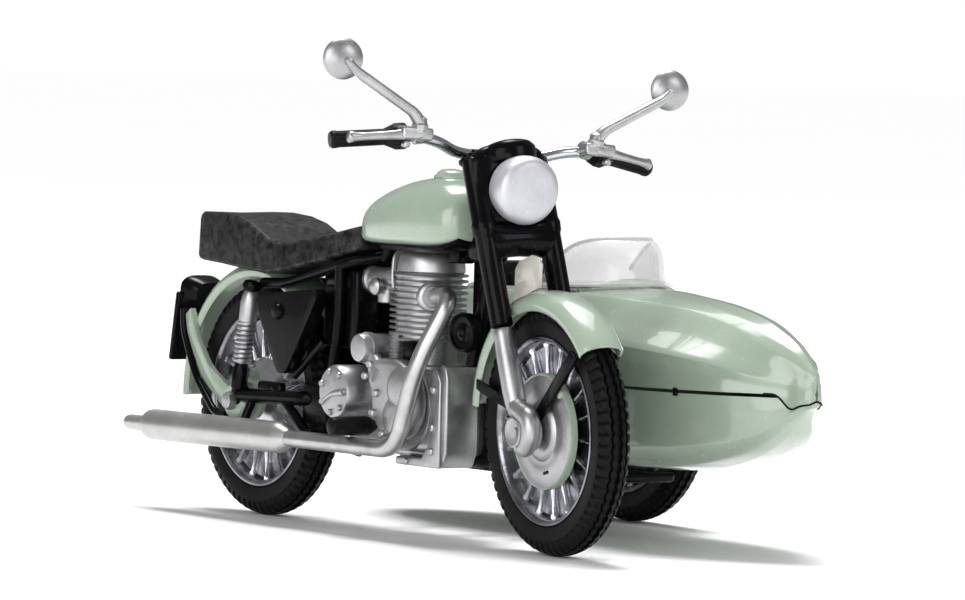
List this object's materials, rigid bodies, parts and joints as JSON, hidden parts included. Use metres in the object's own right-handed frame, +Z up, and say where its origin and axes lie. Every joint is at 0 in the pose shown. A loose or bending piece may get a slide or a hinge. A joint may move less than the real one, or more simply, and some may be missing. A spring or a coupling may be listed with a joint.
{
  "type": "toy motorcycle with sidecar",
  "caption": "Small-scale model motorcycle with a boat-nosed sidecar, finned engine, steering fork and free-rolling treaded wheels; stands on its three tyres.",
  "frame": {"origin": "on the floor, below the centre of the model's bounding box", "axes": "+Z up, -Y towards the front of the motorcycle, +X towards the sidecar (the rider's left)"},
  "size_m": [0.0842, 0.125, 0.0743],
  "materials": {
    "sage_green_paint": "glossy",
    "gloss_black_paint": "glossy",
    "silver_paint": "satin",
    "bright_plating": "bright",
    "seat_black": "satin",
    "grip_black": "satin",
    "tyre_rubber": "matte",
    "clear_screen": "clear plastic",
    "red_lens": "glossy",
    "plate_ivory": "satin"
  },
  "bodies": {
    "bike": {"air_box": "gloss_black_paint", "carburettor": "silver_paint", "crankcase": "silver_paint", "cylinder_barrel": "silver_paint", "cylinder_head": "silver_paint", "dynamo": "silver_paint", "engine_shield": "silver_paint", "exhaust_pipe": "bright_plating", "fuel_cap": "sage_green_paint", "fuel_tank": "sage_green_paint", "gearbox_cover": "silver_paint", "horn": "gloss_black_paint", "left_footrest": "grip_black", "left_shock": "silver_paint", "left_toolbox": "gloss_black_paint", "lower_hull": "sage_green_paint", "main_frame": "gloss_black_paint", "number_plate_panel": "gloss_black_paint", "primary_chaincase": "silver_paint", "rear_axle": "silver_paint", "rear_hub_cover": "sage_green_paint", "rear_mudguard": "sage_green_paint", "right_footrest": "grip_black", "right_shock": "silver_paint", "right_toolbox": "gloss_black_paint", "seat": "seat_black", "sidecar_chassis": "gloss_black_paint", "sidecar_mudguard": "sage_green_paint", "sidecar_seat": "seat_black", "silencer": "silver_paint", "swinging_arm": "gloss_black_paint", "tail_lamp": "red_lens", "timing_cover": "silver_paint", "upper_hull": "sage_green_paint", "windscreen": "clear_screen"},
    "steering": {"fork_crown": "gloss_black_paint", "headlamp": "silver_paint", "headlamp_shell": "gloss_black_paint", "left_fork_slider": "silver_paint", "right_fork_slider": "silver_paint", "handlebar": "bright_plating", "left_grip": "grip_black", "right_grip": "grip_black", "left_lever": "silver_paint", "right_lever": "silver_paint", "left_mirror": "silver_paint", "right_mirror": "silver_paint", "front_mudguard": "sage_green_paint", "left_front_stay": "gloss_black_paint", "right_front_stay": "gloss_black_paint", "front_number_plate": "plate_ivory", "front_axle": "silver_paint", "front_brake_plate": "silver_paint"},
    "front_wheel": {"front_rim": "bright_plating", "front_tyre": "tyre_rubber"},
    "rear_wheel": {"rear_rim": "bright_plating", "rear_tyre": "tyre_rubber"},
    "sidecar_wheel": {"sidecar_rim": "bright_plating", "sidecar_tyre": "tyre_rubber"}
  },
  "joints": [
    {"name": "steering", "type": "hinge", "parent": "bike", "child": "steering", "pos_m": [-0.01217, -0.0268, 0.05001], "axis": [0, 0.342, 0.9397], "range_deg": [-19.6, 30.4]},
    {"name": "front_wheel_spin", "type": "hinge", "parent": "steering", "child": "front_wheel", "pos_m": [-0.01252, -0.04229, 0.01826], "axis": [0.9956, -0.0884, 0.0322], "continuous": true},
    {"name": "rear_wheel_spin", "type": "hinge", "parent": "bike", "child": "rear_wheel", "pos_m": [-0.01217, 0.03549, 0.01826], "axis": [1, 0, 0], "continuous": true},
    {"name": "sidecar_wheel_spin", "type": "hinge", "parent": "bike", "child": "sidecar_wheel", "pos_m": [0.03863, 0.00929, 0.01826], "axis": [1, 0, 0], "continuous": true}
  ]
}
